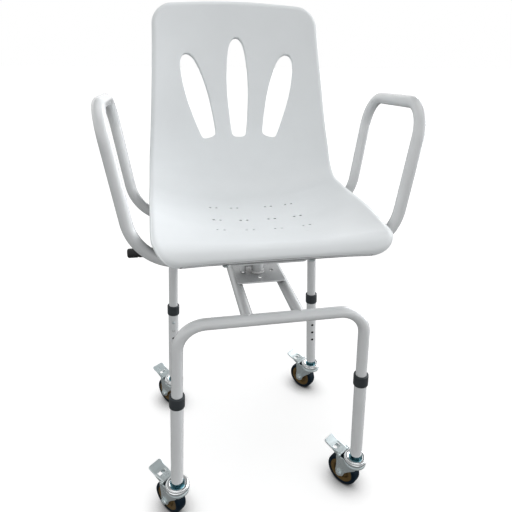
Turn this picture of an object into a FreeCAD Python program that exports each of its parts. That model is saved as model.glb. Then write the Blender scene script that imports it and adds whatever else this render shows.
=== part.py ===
"""Swivelling shower chair: a moulded bucket seat with two arm loops, turning on a
post above a two-arch tubular frame with four telescopic legs and braked casters.

Millimetres, +Z up, the chair faces -Y.  While building, X and Y are measured from the
swivel axis and the floor lies at FLOOR_Z; everything is moved on export so that the
floor is at z = 0 and the origin lies under the centre of the whole chair.
"""
import FreeCAD, Part
import math
import os

V = FreeCAD.Vector
X_AXIS, Y_AXIS, Z_AXIS = V(1, 0, 0), V(0, 1, 0), V(0, 0, 1)

# ---------------------------------------------------------------- dimensions
PIVOT_Y = -58.75          # swivel axis to the centre of the chair, front to back
FLOOR_Z = -5.0

# tubing
TUBE_R = 11.1              # 7/8 in tube: arches, rails and arm loops
LEG_R = 12.7               # 1 in tube: telescopic legs and cross tubes
WALL = 1.3

# base frame
LEG_X = 176.7              # leg centre at the height of the arch bars
ARCH_Y = 172.0
BAR_Z = 474.0
SPLAY = 0.058              # outward lean of the legs, mm per mm going down
ARCH_BEND = 54.0
ARCH_END_Z = 240.0         # lower end of the arch tubes inside the legs
RAIL_X = 48.7
PLATE_HALF_X, PLATE_HALF_Y, PLATE_T = 50.0, 52.0, 3.0
PLATE_Z = BAR_Z + TUBE_R   # underside of the base plate
PLATE_TOP = PLATE_Z + PLATE_T

# telescopic legs
LEG_BOTTOM, LEG_TOP = 99.0, 319.5
COLLAR_R, COLLAR_BOTTOM, COLLAR_TOP = 15.2, 296.0, 321.5
HOLE_Z, HOLE_PITCH, HOLE_COUNT, HOLE_R = 275.0, 24.0, 5, 3.6
BUTTON_R, BUTTON_OUT = 3.3, 14.3

# casters
WHEEL_R, TYRE_IN_R = 37.5, 28.5
AXLE_Z = FLOOR_Z + WHEEL_R
TRAIL = 26.0
FORK_IN, FORK_OUT = 15.0, 18.0
CROWN_Z, CROWN_T, CROWN_R = 74.6, 3.0, 24.2
RING_R, RING_BOTTOM, RING_TOP = 25.4, 82.4, 91.0
STEM_R = 6.0
AXLE_R, CORE_BORE = 4.0, 4.06
PEDAL_T, PEDAL_PIVOT = 33.0, 77.4      # along the trail and height
PEDAL_PIN_R = 2.5
TRAIL_ANGLE = {"fl": 40.0, "fr": 34.0, "rl": 37.0, "rr": 37.0}
LEGS = {"fl": (-1, -1), "fr": (1, -1), "rl": (-1, 1), "rr": (1, 1)}

# swivel
POST_R, HUB_BORE, HUB_R = 10.0, 10.07, 12.7
POST_TOP = 558.0
WASHER_TOP = PLATE_TOP + 3.0
CROSS_Z = 576.0
CARRIER_TOP, CARRIER_T = CROSS_Z - LEG_R, 3.0
CARRIER_HALF_X = 74.0
LOCK_R, LOCK_HOLE_R = 31.0, 4.5
PIN_R, PIN_BORE, GUIDE_R = 4.0, 4.06, 6.5
LEVER_Z, LEVER_PIVOT_X = 547.0, -62.0
LEVER_END_X = -266.0

# arms (right side; the left is its mirror image)
ARM_FRONT_Y, ARM_REAR_Y = -118.0, 130.0
ARM_PATH = [V(96, ARM_FRONT_Y, CROSS_Z), V(239, ARM_FRONT_Y, CROSS_Z),
            V(276.5, -103, 839.5), V(284, 144, 831.5),
            V(248, ARM_REAR_Y, CROSS_Z), V(96, ARM_REAR_Y, CROSS_Z)]
ARM_BENDS = [88.0, 58.0, 58.0, 88.0]
CROSS_HALF = 150.0
SCREW_X, ARM_BOLT_X = 82.0, 122.0

# seat shell
SHELL_T = 4.0
PROFILE = [(-195.0, 600.5), (-212.5, 631.0), (-40.0, 604.0), (214.0, 607.0), (315.2, 1028.9)]
PROFILE_BENDS = [18.0, 300.0, 100.0]
HALF_WIDTH = [(0, 196), (30, 204), (60, 210), (169, 214), (282, 217.5), (380, 219), (480, 217),
              (563, 209), (656, 200.5), (746, 194), (846, 189)]
SIDE_LIFT = [(0, 4), (60, 15), (169, 42), (282, 43), (400, 46), (500, 40), (563, 34),
             (656, 31), (746, 26), (846, 20)]
ROLL_DEPTH = [(0, 3), (60, 8), (400, 12), (846, 12)]
ROLL_WIDTH = 12.0
FRONT_CORNER, TOP_CORNER = 40.0, 43.0
TOP_CROWN, CROWN_REACH = 10.0, 200.0   # drop of the top edge 150 mm off centre, and its fade
SLOT_HALF = [(0, 0), (13, 2.5), (18, 13), (22.5, 55), (25.5, 110), (23.5, 160), (17.5, 198),
             (9, 214), (0, 218)]
SLOT_LENGTH, SLOT_WIDEST = 218.0, 25.5
FLANGE_T, FLANGE_DEPTH = 2.4, 12.0     # rims of the slots, turned towards the back
SLOTS = [(0.0, 733.0, 218.0, 0.0), (72.0, 733.0, 189.0, 14.6), (-72.0, 733.0, 189.0, -14.6)]
DRAIN_ROWS = [(80.0, 38.0, 84.0), (1.0, 29.0, 84.0), (-65.0, 28.0, 84.0)]
DRAIN_R, DRAIN_GAP = 3.0, 6.8


# ---------------------------------------------------------------- helpers
def cylinder(r, height, base, direction=Z_AXIS):
    return Part.makeCylinder(r, height, base, direction)


def box(x0, x1, y0, y1, z0, z1):
    return Part.makeBox(x1 - x0, y1 - y0, z1 - z0, V(x0, y0, z0))


def ring(r_out, r_in, z0, z1, x=0.0, y=0.0):
    outer = cylinder(r_out, z1 - z0, V(x, y, z0))
    return outer.cut(cylinder(r_in, z1 - z0 + 2, V(x, y, z0 - 1)))


def hexagon(across, z0, z1):
    r = across / math.sqrt(3.0)
    pts = [V(r * math.cos(math.radians(60 * k)), r * math.sin(math.radians(60 * k)), z0)
           for k in range(7)]
    return Part.Face(Part.makePolygon(pts)).extrude(V(0, 0, z1 - z0))


def revolve(points):
    """Solid of revolution about Z from a closed (radius, z) outline."""
    pts = [V(r, 0, z) for r, z in points]
    face = Part.Face(Part.makePolygon(pts + [pts[0]]))
    return face.revolve(V(0, 0, 0), Z_AXIS, 360)


def plate_side(points, y0, y1):
    """Prism of an (x, z) outline between two y values."""
    pts = [V(x, y0, z) for x, z in points]
    return Part.Face(Part.makePolygon(pts + [pts[0]])).extrude(V(0, y1 - y0, 0))


def fuse_all(shapes):
    return shapes[0].fuse(shapes[1:]).removeSplitter()


def bent_path(points, bends):
    """Wire of straight runs joined by tangent arcs."""
    edges = []
    start = points[0]
    for k, radius in enumerate(bends, 1):
        corner = points[k]
        back = (points[k - 1] - corner).normalize()
        ahead = (points[k + 1] - corner).normalize()
        half = back.getAngle(ahead) / 2.0
        run = radius / math.tan(half)
        p_in = corner + back * run
        p_out = corner + ahead * run
        inward = (back + ahead).normalize()
        middle = corner + inward * (radius / math.sin(half) - radius)
        edges.append(Part.makeLine(start, p_in))
        edges.append(Part.Arc(p_in, middle, p_out).toShape())
        start = p_out
    edges.append(Part.makeLine(start, points[-1]))
    return Part.Wire(edges)


def sweep_disc(path, r, start, direction):
    disc = Part.Face(Part.Wire(Part.makeCircle(r, start, direction)))
    return path.makePipe(disc)


def bent_tube(points, bends, r):
    path = bent_path(points, bends)
    direction = points[1] - points[0]
    outer = sweep_disc(path, r, points[0], direction)
    return outer.cut(sweep_disc(path, r - WALL, points[0], direction))


def leg_x(z):
    return LEG_X + SPLAY * (BAR_Z - z)


def leg_point(side, z):
    return V(side[0] * leg_x(z), side[1] * ARCH_Y, z)


def leg_cylinder(side, r, z0, z1):
    a, b = leg_point(side, z0), leg_point(side, z1)
    return cylinder(r, (b - a).Length, a, b - a)


# ---------------------------------------------------------------- base frame
def arch(front_back):
    left, right = (-1, front_back), (1, front_back)
    points = [leg_point(left, ARCH_END_Z), leg_point(left, BAR_Z),
              leg_point(right, BAR_Z), leg_point(right, ARCH_END_Z)]
    body = bent_tube(points, [ARCH_BEND, ARCH_BEND], TUBE_R)
    for side in (left, right):
        x, y = side[0] * leg_x(HOLE_Z), side[1] * ARCH_Y
        body = body.cut(cylinder(HOLE_R - 0.1, 15, V(x, y, HOLE_Z), V(0, hole_dir(side), 0)))
    return body


def hole_dir(side):
    """The adjusting holes of every leg look towards the middle of the frame or ahead."""
    return 1 if side[1] < 0 else -1


def rail(sign):
    x = sign * RAIL_X
    tube = cylinder(TUBE_R, 2 * ARCH_Y, V(x, -ARCH_Y, BAR_Z), Y_AXIS)
    tube = tube.cut(cylinder(TUBE_R - WALL, 2 * ARCH_Y + 2, V(x, -ARCH_Y - 1, BAR_Z), Y_AXIS))
    for y in (-ARCH_Y, ARCH_Y):
        tube = tube.cut(cylinder(TUBE_R + 0.02, 60, V(x - 30, y, BAR_Z), X_AXIS))
    return tube


def base_plate():
    plate = box(-PLATE_HALF_X, PLATE_HALF_X, -PLATE_HALF_Y, PLATE_HALF_Y, PLATE_Z, PLATE_TOP)
    upright = [e for e in plate.Edges if abs(e.tangentAt(e.FirstParameter).z) > 0.9]
    plate = plate.makeFillet(5.0, upright)
    for k in range(4):
        angle = math.radians(90 * k)
        at = V(LOCK_R * math.cos(angle), LOCK_R * math.sin(angle), PLATE_Z - 1)
        plate = plate.cut(cylinder(LOCK_HOLE_R, PLATE_T + 2, at))
    return plate


def pivot_post():
    post = cylinder(POST_R, POST_TOP - PLATE_TOP, V(0, 0, PLATE_TOP))
    post = post.makeChamfer(0.8, [post.Edges[0]])
    return post.cut(cylinder(5.0, 40, V(0, 0, POST_TOP - 28)))


def pivot_bolt():
    washer = cylinder(12.0, 2.0, V(0, 0, CARRIER_TOP + 0.4))
    head = hexagon(17.0, CARRIER_TOP + 2.4, CARRIER_TOP + 8.8)
    shank = cylinder(4.95, CARRIER_TOP + 4 - (POST_TOP - 25), V(0, 0, POST_TOP - 25))
    return fuse_all([washer, head, shank])


# ---------------------------------------------------------------- swivel head
def swivel_hub():
    """Hub tube, lock pin guide and the web that joins them, welded together."""
    z0 = WASHER_TOP + 0.3
    hub = cylinder(HUB_R, CARRIER_TOP - CARRIER_T - z0, V(0, 0, z0))
    guide = cylinder(GUIDE_R, 38.0, V(-LOCK_R, 0, PLATE_TOP + 3.5))
    web = box(-LOCK_R, 0, -2.0, 2.0, 500.0, 526.0)
    body = fuse_all([hub, guide, web])
    body = body.cut(cylinder(HUB_BORE, 100, V(0, 0, 480)))
    return body.cut(cylinder(PIN_BORE, 60, V(-LOCK_R, 0, 480)))


def swivel_plate():
    z0 = CARRIER_TOP - CARRIER_T
    plate = box(-CARRIER_HALF_X, CARRIER_HALF_X, ARM_FRONT_Y - 4, ARM_REAR_Y + 4, z0, CARRIER_TOP)
    upright = [e for e in plate.Edges if abs(e.tangentAt(e.FirstParameter).z) > 0.9]
    plate = plate.makeFillet(12.0, upright)
    plate = plate.cut(cylinder(5.6, 10, V(0, 0, z0 - 2)))
    plate = plate.cut(cylinder(6.0, 10, V(-LOCK_R, 0, z0 - 2)))
    ears = []
    for y in (-12.5, 9.5):
        ear = box(LEVER_PIVOT_X - 8, LEVER_PIVOT_X + 8, y, y + 3, LEVER_Z, z0)
        tip = cylinder(8.0, 3.0, V(LEVER_PIVOT_X, y, LEVER_Z), Y_AXIS)
        ears.append(ear.fuse(tip))
    plate = fuse_all([plate] + ears)
    return plate.cut(cylinder(2.6, 40, V(LEVER_PIVOT_X, -20, LEVER_Z), Y_AXIS))


def lock_lever():
    boss = cylinder(6.5, 18.0, V(LEVER_PIVOT_X, -9.0, LEVER_Z), Y_AXIS)
    rod = cylinder(4.0, -56.0 - LEVER_END_X - 12, V(LEVER_END_X + 12, 0, LEVER_Z), X_AXIS)
    tongue = box(LEVER_PIVOT_X, -LOCK_R + 9, -8.0, 8.0, LEVER_Z - 2, LEVER_Z + 2)
    slot = box(-LOCK_R - 5.5, -LOCK_R + 5.5, -4.4, 4.4, LEVER_Z - 5, LEVER_Z + 5)
    body = fuse_all([boss, rod, tongue]).cut(slot)
    return body.cut(cylinder(2.56, 40, V(LEVER_PIVOT_X, -20, LEVER_Z), Y_AXIS))


def lever_grip():
    r, length = 9.6, 92.0
    grip = cylinder(r, length, V(LEVER_END_X, 0, LEVER_Z), X_AXIS)
    ends = [e for e in grip.Edges if e.Curve.TypeId == "Part::GeomCircle"]
    grip = grip.makeFillet(4.0, ends)
    for k in range(5):
        x = LEVER_END_X + 20 + 14 * k
        band = cylinder(r + 2, 3.0, V(x, 0, LEVER_Z), X_AXIS)
        grip = grip.cut(band.cut(cylinder(r - 0.8, 3.0, V(x, 0, LEVER_Z), X_AXIS)))
    return grip.cut(cylinder(4.02, length, V(LEVER_END_X + 12, 0, LEVER_Z), X_AXIS))


def lever_pin():
    pin = cylinder(2.5, 29.0, V(LEVER_PIVOT_X, -14.5, LEVER_Z), Y_AXIS)
    heads = [cylinder(4.5, 2.0, V(LEVER_PIVOT_X, y, LEVER_Z), Y_AXIS) for y in (-14.5, 12.5)]
    return fuse_all([pin] + heads)


def lock_pin():
    z0 = PLATE_TOP + 0.5
    pin = cylinder(PIN_R, 556.0 - z0, V(-LOCK_R, 0, z0))
    pin = pin.makeChamfer(1.0, [pin.Edges[2]])
    collars = [ring(7.5, PIN_R - 0.5, z, z + 2.0, -LOCK_R) for z in (LEVER_Z - 6.2, LEVER_Z + 4.2)]
    return fuse_all([pin] + collars)


# ---------------------------------------------------------------- seat frame
def cross_tube(y):
    tube = cylinder(LEG_R, 2 * CROSS_HALF, V(-CROSS_HALF, y, CROSS_Z), X_AXIS)
    tube = tube.cut(cylinder(LEG_R - WALL, 2 * CROSS_HALF + 2, V(-CROSS_HALF - 1, y, CROSS_Z), X_AXIS))
    for x in (-SCREW_X, SCREW_X):
        tube = tube.cut(cylinder(3.2, 40, V(x, y, CROSS_Z - 20)))
    for x in (-ARM_BOLT_X, ARM_BOLT_X):
        tube = tube.cut(arm_bolt_hole(x, y))
    return tube


def inward(y):
    """Direction along Y from a cross tube to the middle of the seat frame."""
    return 1 if y < 0 else -1


def arm_bolt_hole(x, y):
    return cylinder(3.2, 20, V(x, y, CROSS_Z), V(0, inward(y), 0))


def arm(sign):
    body = bent_tube(ARM_PATH, ARM_BENDS, TUBE_R)
    for y in (ARM_FRONT_Y, ARM_REAR_Y):
        body = body.cut(arm_bolt_hole(ARM_BOLT_X, y))
    return body if sign > 0 else body.mirror(V(0, 0, 0), X_AXIS)


def hex_bolt(head_z, tip_z):
    """M6 bolt on the Z axis whose head lies below head_z and whose shank ends at tip_z."""
    head = hexagon(10.0, head_z - 4.0, head_z)
    shank = cylinder(3.0, tip_z - head_z + 4, V(0, 0, head_z - 4))
    return fuse_all([head, shank])


def arm_bolts():
    """Short bolts through the inner side of each cross tube into the arm tube."""
    bolts = []
    for x in (-ARM_BOLT_X, ARM_BOLT_X):
        for y in (ARM_FRONT_Y, ARM_REAR_Y):
            bolt = hex_bolt(-LEG_R, 5.0 - TUBE_R)
            bolt.rotate(V(0, 0, 0), X_AXIS, 90 * inward(y))
            bolt.translate(V(x, y, CROSS_Z))
            bolts.append(bolt)
    return Part.makeCompound(bolts)


def seat_screws():
    screws = []
    for x in (-SCREW_X, SCREW_X):
        for y in (ARM_FRONT_Y, ARM_REAR_Y):
            screw = hex_bolt(CROSS_Z - LEG_R, 594.0)
            screw.translate(V(x, y, 0))
            screws.append(screw)
    return Part.makeCompound(screws)


# ---------------------------------------------------------------- seat shell
def blend(table, t):
    """Smooth curve through (t, value) pairs."""
    k = 0
    while k < len(table) - 2 and t > table[k + 1][0]:
        k += 1
    (t0, a), (t1, b) = table[k], table[k + 1]
    before = table[max(k - 1, 0)]
    after = table[min(k + 2, len(table) - 1)]
    h = t1 - t0
    ma = (b - before[1]) / (t1 - before[0]) * h
    mb = (after[1] - a) / (after[0] - t0) * h
    s = (t - t0) / h
    return (a * (1 + 2 * s) * (1 - s) ** 2 + ma * s * (1 - s) ** 2
            + b * s * s * (3 - 2 * s) + mb * s * s * (s - 1))


def profile_pieces():
    """Straight and curved pieces of the seat's centre line, front lip to top edge."""
    pieces = []
    start = PROFILE[0]
    for k, radius in enumerate(PROFILE_BENDS, 1):
        c, p, n = PROFILE[k], PROFILE[k - 1], PROFILE[k + 1]
        a0 = math.atan2(c[1] - p[1], c[0] - p[0])
        a1 = math.atan2(n[1] - c[1], n[0] - c[0])
        turn = a1 - a0
        run = radius * abs(math.tan(turn / 2))
        p_in = (c[0] - run * math.cos(a0), c[1] - run * math.sin(a0))
        pieces.append(("line", start, a0, math.dist(start, p_in), 0.0))
        pieces.append(("arc", p_in, a0, radius * abs(turn), math.copysign(1 / radius, turn)))
        start = (c[0] + run * math.cos(a1), c[1] + run * math.sin(a1))
    end = PROFILE[-1]
    pieces.append(("line", start, a1, math.dist(start, end), 0.0))
    return pieces


PIECES = profile_pieces()
SHELL_LENGTH = sum(p[3] for p in PIECES)


def profile_at(t):
    """Point (y, z) and heading of the centre line at length t."""
    for kind, start, heading, length, curvature in PIECES:
        if t <= length or (kind, start) == PIECES[-1][:2]:
            break
        t -= length
    if curvature == 0:
        return start[0] + t * math.cos(heading), start[1] + t * math.sin(heading), heading
    turned = heading + t * curvature
    y = start[0] + (math.sin(turned) - math.sin(heading)) / curvature
    z = start[1] - (math.cos(turned) - math.cos(heading)) / curvature
    return y, z, turned


def edge_distance(x, t):
    """Distance from the rounded outline of the flattened shell."""
    side = blend(HALF_WIDTH, t) - abs(x)
    for end, corner in ((t, FRONT_CORNER), (SHELL_LENGTH - t, TOP_CORNER)):
        if end < corner and side < corner:
            return corner - math.hypot(corner - side, corner - end)
    return min(side, t, SHELL_LENGTH - t)


def top_drop(x, t):
    """How far the crowned top edge has dropped at x, fading out down the back."""
    s = max(0.0, 1 - (SHELL_LENGTH - t) / CROWN_REACH)
    return TOP_CROWN * (x / 150.0) ** 2 * s * s * (3 - 2 * s)


def shell_point(x, t):
    """Point of the sitting surface: dished across, with its rim rolled back."""
    y, z, heading = profile_at(t - top_drop(x, t))
    lift = blend(SIDE_LIFT, t) * (abs(x) / blend(HALF_WIDTH, t)) ** 2.6
    inside = min(max(edge_distance(x, t) / ROLL_WIDTH, 0.0), 1.0)
    lift -= blend(ROLL_DEPTH, t) * (1 - math.sqrt(max(0.0, 1 - (1 - inside) ** 2)))
    return V(x, y - lift * math.sin(heading), z + lift * math.cos(heading))


def row_half_width(t):
    half = blend(HALF_WIDTH, t)
    for end, corner in ((t, FRONT_CORNER), (SHELL_LENGTH - t, TOP_CORNER)):
        if end < corner:
            half -= corner - math.sqrt(corner ** 2 - (corner - end) ** 2)
    return half


def shell_rows():
    """Lengths of the rows of points, closer together at the ends and in the bends."""
    front = [0.6, 2.4, 6.5, 14, 28, 48, 80, 125]
    middle = [170, 220, 270, 320, 362, 405, 450, 505, 580, 665]
    top = [SHELL_LENGTH - e for e in (108, 72, 45, 24, 10, 3.2, 0.9)]
    return front + middle + top


def shell_columns():
    half = [0.35, 0.66, 0.86, 0.945, 0.978, 0.9975]
    return [-u for u in reversed(half)] + [0.0] + half


def shell_patch(rows, columns, depth):
    """Grid of points on the sitting surface, or that far under it."""
    grid = []
    for t in rows:
        half = row_half_width(t)
        line = []
        for u in columns:
            x = half * u
            p = shell_point(x, t)
            if depth:
                across = shell_point(x + 0.05, t) - shell_point(x - 0.05, t)
                along = shell_point(x, t + 0.05) - shell_point(x, t - 0.05)
                p = p - across.cross(along).normalize() * depth
            line.append(p)
        grid.append(line)
    return grid


def surface_through(grid):
    surface = Part.BSplineSurface()
    surface.interpolate(grid)
    return surface


def slot_tool(x, z, length, lean, grown=0.0):
    """Long prism through a slot, or through the slot made wider all round."""
    wide = 1 + grown / SLOT_WIDEST
    tall = (length + 2 * grown) / SLOT_LENGTH
    right = [V(h * wide, 0, s * tall - grown) for h, s in SLOT_HALF]
    left = [V(-h * wide, 0, s * tall - grown) for h, s in reversed(SLOT_HALF[1:-1])]
    curve = Part.BSplineCurve()
    curve.interpolate(right + left, PeriodicFlag=True)
    face = Part.Face(Part.Wire(curve.toShape()))
    tool = face.extrude(V(0, 160, 0))
    tool.rotate(V(0, 0, 0), Y_AXIS, lean)
    tool.translate(V(x, 180, z))
    return tool


def drain_tools():
    tools = []
    for y, inner, outer in DRAIN_ROWS:
        for x in (-outer, -inner, inner, outer):
            for dx in (-DRAIN_GAP, DRAIN_GAP):
                tools.append(cylinder(DRAIN_R, 80, V(x + dx, y, 570)))
    return tools


def seat_bosses():
    """Moulded feet that sit on the cross tubes, with blind screw holes."""
    bosses = []
    for x in (-SCREW_X, SCREW_X):
        for y in (ARM_FRONT_Y, ARM_REAR_Y):
            top = shell_point(x, length_at(y)).z - 1.8
            boss = cylinder(11.0, top - 580.0, V(x, y, 580.0))
            boss = boss.cut(cylinder(LEG_R + 0.05, 40, V(x - 20, y, CROSS_Z), X_AXIS))
            bosses.append(boss.cut(cylinder(3.1, 595.0 - 570.0, V(x, y, 570.0))))
    return bosses


def length_at(y):
    low, high = 60.0, 400.0
    for _ in range(40):
        mid = (low + high) / 2
        low, high = (mid, high) if profile_at(mid)[0] < y else (low, mid)
    return low


def shell_between(rows, columns, top, bottom):
    """Solid between two depths under the sitting surface."""
    upper = surface_through(shell_patch(rows, columns, top))
    lower = surface_through(shell_patch(rows, columns, bottom))
    faces = [upper.toShape(), lower.toShape()]
    for iso in ("uIso", "vIso"):
        for end in (0, 1):
            bounds = upper.bounds(), lower.bounds()
            index = end if iso == "uIso" else 2 + end
            curves = [getattr(s, iso)(b[index]).toShape() for s, b in zip((upper, lower), bounds)]
            faces.append(Part.makeRuledSurface(curves[0], curves[1]))
    shell = Part.Shell(Part.makeCompound(faces).Faces)
    shell.sewShape()
    solid = Part.makeSolid(shell)
    if solid.Volume < 0:
        solid.reverse()
    return solid


def slot_flanges():
    """Walls round the slots, before the slots themselves are cut."""
    rows = [500, 540, 580, 620, 660, 700, 740, 770, 800]
    columns = [-0.84, -0.6, -0.3, 0.0, 0.3, 0.6, 0.84]
    slab = shell_between(rows, columns, 1.0, FLANGE_DEPTH)
    return [slab.common(slot_tool(*s, FLANGE_T)) for s in SLOTS]


def seat_shell():
    solid = shell_between(shell_rows(), shell_columns(), 0.0, SHELL_T)
    solid = solid.fuse(slot_flanges())
    solid = solid.cut([slot_tool(*s) for s in SLOTS] + drain_tools())
    return solid.fuse(seat_bosses())


# ---------------------------------------------------------------- legs
def leg_tube(side):
    tube = leg_cylinder(side, LEG_R, LEG_BOTTOM, LEG_TOP)
    tube = tube.cut(leg_cylinder(side, LEG_R - WALL, LEG_BOTTOM - 2, LEG_TOP + 2))
    for k in range(HOLE_COUNT):
        p = leg_point(side, HOLE_Z - k * HOLE_PITCH)
        tube = tube.cut(cylinder(HOLE_R, 16, p, V(0, hole_dir(side), 0)))
    return tube


def collar(side):
    """Plastic sleeve that caps the leg and guides the arch tube."""
    body = leg_cylinder(side, COLLAR_R, COLLAR_BOTTOM, COLLAR_TOP)
    ends = [e for e in body.Edges if e.Curve.TypeId == "Part::GeomCircle"]
    body = body.makeFillet(1.6, ends)
    body = body.cut(leg_cylinder(side, LEG_R + 0.02, COLLAR_BOTTOM - 2, LEG_TOP + 0.02))
    return body.cut(leg_cylinder(side, TUBE_R + 0.3, LEG_TOP - 2, COLLAR_TOP + 2))


def snap_button(side):
    """Round button on a short spring leaf inside the arch tube."""
    x, y, d = side[0] * leg_x(HOLE_Z), side[1] * ARCH_Y, hole_dir(side)
    pin = cylinder(BUTTON_R, BUTTON_OUT - 7.0, V(x, y + d * 7.0, HOLE_Z), V(0, d, 0))
    tip = [e for e in pin.Edges if e.Curve.TypeId == "Part::GeomCircle"
           and abs(e.CenterOfMass.y - (y + d * BUTTON_OUT)) < 0.1]
    pin = pin.makeFillet(1.6, tip)
    y0, y1 = sorted((y + d * 6.2, y + d * 7.2))
    leaf = box(x - 4.0, x + 4.0, y0, y1, HOLE_Z - 22, HOLE_Z + 8)
    return fuse_all([pin, leaf])


# ---------------------------------------------------------------- casters
# built with the stem on the Z axis and the wheel trailing towards +X
def caster_head(lean):
    """Bearing ring, stem nut, threaded stem and the insert that holds it in the tube."""
    dome = revolve([(13.5, RING_BOTTOM), (23.0, RING_BOTTOM), (RING_R, RING_BOTTOM + 2.0),
                    (RING_R, RING_BOTTOM + 4.2), (23.4, RING_TOP - 1.6), (20.4, RING_TOP),
                    (15.6, RING_TOP), (13.5, RING_TOP - 2.6)])
    race = ring(13.5, STEM_R, RING_BOTTOM, RING_BOTTOM + 2.6)
    nut = hexagon(19.0, RING_BOTTOM + 2.6, LEG_BOTTOM - 3.4)
    washer = cylinder(11.6, 2.4, V(0, 0, LEG_BOTTOM - 3.4))
    stem = cylinder(STEM_R, 124.0 - 66.0, V(0, 0, 66.0))
    king_nut = hexagon(13.0, 67.5, 73.6)
    top = fuse_all([dome, race, nut, washer, stem, king_nut])
    axis = V(-lean * SPLAY, 0, 1)
    insert = cylinder(LEG_R - WALL - 0.02, 30.0, V(0, 0, LEG_BOTTOM), axis)
    insert = insert.cut(cylinder(STEM_R + 0.02, 80, V(0, 0, LEG_BOTTOM - 5)))
    return top, insert


def caster_fork():
    crown = ring(CROWN_R, STEM_R + 0.4, CROWN_Z, CROWN_Z + CROWN_T)
    lower_race = revolve([(STEM_R + 0.4, CROWN_Z + CROWN_T), (22.6, CROWN_Z + CROWN_T),
                          (22.6, RING_BOTTOM - 2.4), (20.6, RING_BOTTOM - 0.4),
                          (STEM_R + 0.4, RING_BOTTOM - 0.4)])
    outline = [(-15.0, CROWN_Z + CROWN_T), (-11.0, 62.0), (8.0, 45.0), (15.2, 33.0),
               (36.8, 33.0), (36.6, 60.0), (38.6, 74.0), (38.6, 82.6), (27.6, 82.6),
               (27.0, CROWN_Z + CROWN_T)]
    parts = [crown, lower_race]
    for y in (-FORK_OUT, FORK_IN):
        cheek = plate_side(outline, y, y + FORK_OUT - FORK_IN)
        cheek = cheek.fuse(cylinder(11.0, FORK_OUT - FORK_IN, V(TRAIL, y, AXLE_Z), Y_AXIS))
        parts.append(cheek)
    body = fuse_all(parts)
    body = body.cut(cylinder(AXLE_R + 0.02, 60, V(TRAIL, -30, AXLE_Z), Y_AXIS))
    body = body.cut(cylinder(PEDAL_PIN_R + 0.02, 60, V(PEDAL_T, -30, PEDAL_PIVOT), Y_AXIS))
    pin = cylinder(PEDAL_PIN_R, 2 * FORK_OUT + 3, V(PEDAL_T, -FORK_OUT - 1.5, PEDAL_PIVOT), Y_AXIS)
    return Part.makeCompound([body, pin])


def axle():
    """Axle bolt with a hexagon head and nut outside the fork."""
    shank = cylinder(AXLE_R, 2 * FORK_OUT + 12, V(TRAIL, -FORK_OUT - 6, AXLE_Z), Y_AXIS)
    parts = [shank]
    for y in (-FORK_OUT - 5.0, FORK_OUT):
        head = hexagon(13.0, 0, 5.0)
        head.rotate(V(0, 0, 0), X_AXIS, -90)
        head.translate(V(TRAIL, y, AXLE_Z))
        parts.append(head)
    return fuse_all(parts)


def wheel_core():
    """Hub, web and rim of the wheel, revolved about its axle."""
    half = [(CORE_BORE, 14.1), (8.6, 14.1), (9.4, 13.3), (9.4, 6.0), (19.5, 4.2), (21.5, 10.7),
            (TYRE_IN_R, 11.1)]
    body = revolve(half + [(r, -z) for r, z in reversed(half)])
    body.rotate(V(0, 0, 0), X_AXIS, -90)
    body.translate(V(TRAIL, 0, AXLE_Z))
    return body


def tyre():
    half = [(TYRE_IN_R + 0.02, 11.1), (33.0, 12.4), (35.6, 11.0), (37.0, 8.0), (WHEEL_R, 3.0)]
    body = revolve(half + [(r, -z) for r, z in reversed(half)])
    body.rotate(V(0, 0, 0), X_AXIS, -90)
    body.translate(V(TRAIL, 0, AXLE_Z))
    return body


def brake_pedal():
    """Foot plate, raised toe, side cheeks round the pin and the shoe above the tyre."""
    plate = plate_side([(28.6, 82.0), (58.6, 85.3), (59.6, 82.9), (28.6, 79.6)], -14.3, 14.3)
    toe = plate_side([(58.0, 85.2), (76.0, 93.5), (77.1, 91.3), (58.8, 82.8)], -16.8, 16.8)
    toe = toe.common(cylinder(22.0, 40, V(55.5, 0, 70)))
    parts = [plate, toe]
    for y in (-14.3, 12.3):
        cheek = plate_side([(28.6, 80.5), (52.0, 83.5), (38.5, 74.0), (30.0, 73.5)], y, y + 2.0)
        parts.append(cheek)
    shoe = plate_side([(41.2, 81.5), (43.6, 81.5), (44.8, 71.0), (41.8, 70.2), (41.0, 72.0)],
                      -9.0, 9.0)
    parts.append(shoe)
    body = fuse_all(parts)
    body = body.cut(box(46.5, 54.5, -7.5, 7.5, 76, 96))
    body = body.fuse(plate_side([(46.5, 81.9), (46.5, 84.0), (52.5, 87.7), (53.3, 85.9)], -3.5, 3.5))
    return body.cut(cylinder(PEDAL_PIN_R + 0.06, 60, V(PEDAL_T, -30, PEDAL_PIVOT), Y_AXIS))


def place_caster(shape, key):
    side = LEGS[key]
    turned = shape.copy()
    turned.rotate(V(0, 0, 0), Z_AXIS, 90.0 + TRAIL_ANGLE[key])
    foot = leg_point(side, LEG_BOTTOM)
    turned.translate(V(foot.x, foot.y, 0))
    return turned


def place_head(key):
    """The head does not turn with the fork; its insert leans with the tube."""
    side = LEGS[key]
    foot = leg_point(side, LEG_BOTTOM)
    solids = [s.translated(V(foot.x, foot.y, 0)) for s in caster_head(side[0])]
    return Part.makeCompound(solids)


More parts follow.
